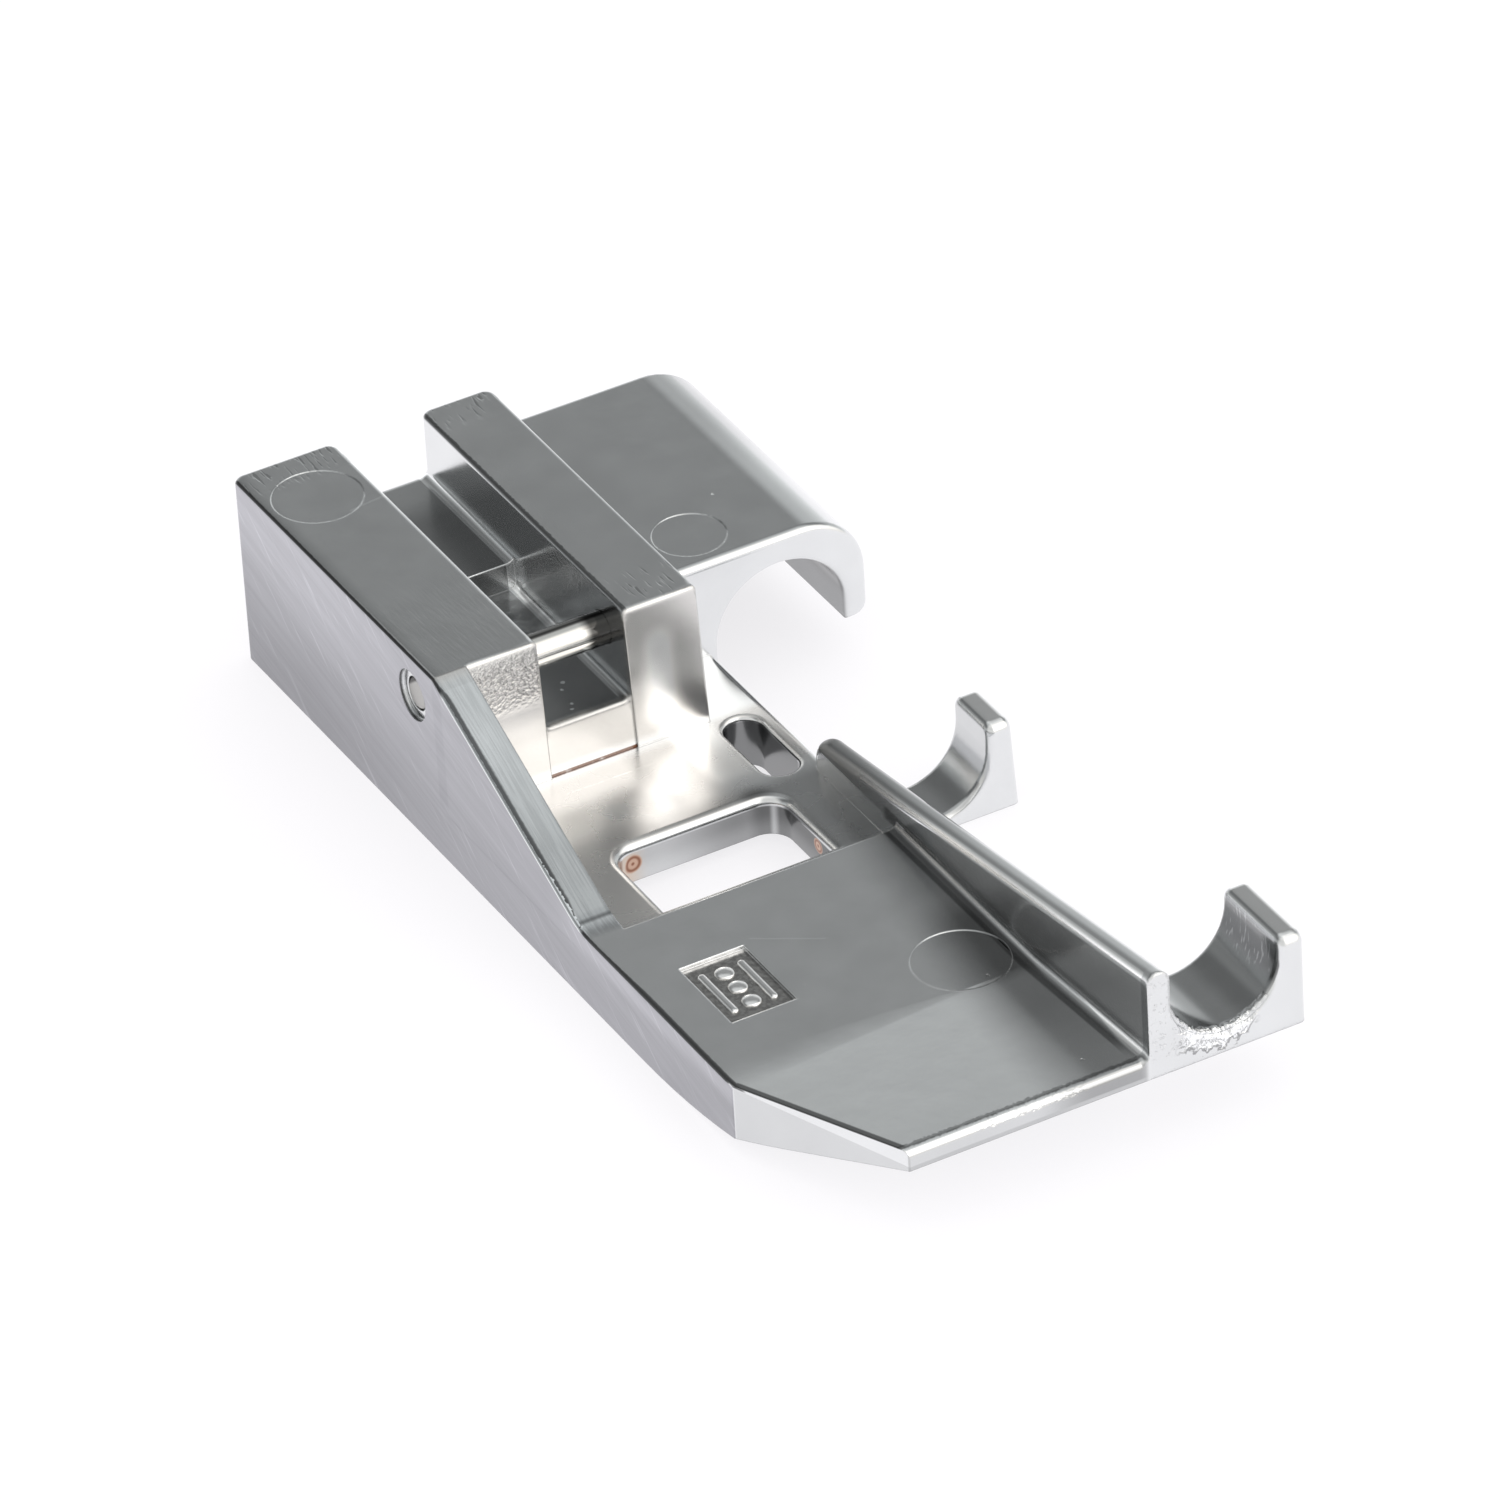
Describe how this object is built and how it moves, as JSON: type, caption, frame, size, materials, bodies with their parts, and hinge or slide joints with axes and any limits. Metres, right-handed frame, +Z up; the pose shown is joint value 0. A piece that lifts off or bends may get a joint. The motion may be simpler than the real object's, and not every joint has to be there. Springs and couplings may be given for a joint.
{
  "type": "sewing machine presser foot",
  "caption": "Clip-on presser foot that guides a bead past the needle: a hood with a curled lip behind, half-round hooks in front, a fin, and a cross pin for the ankle.",
  "frame": {"origin": "centre of the bounding box, at the height of the flat sole", "axes": "+Z up from the sole, -Y towards the toe (the front, where the cloth enters), -X towards the flat machined side, +X towards the hood and the hooks"},
  "size_m": [0.0194, 0.044, 0.0078],
  "materials": {
    "plated_zinc": "satin",
    "pin_steel": "polished"
  },
  "bodies": {
    "root": {"foot_body": "plated_zinc", "hinge_pin": "pin_steel"}
  },
  "joints": []
}
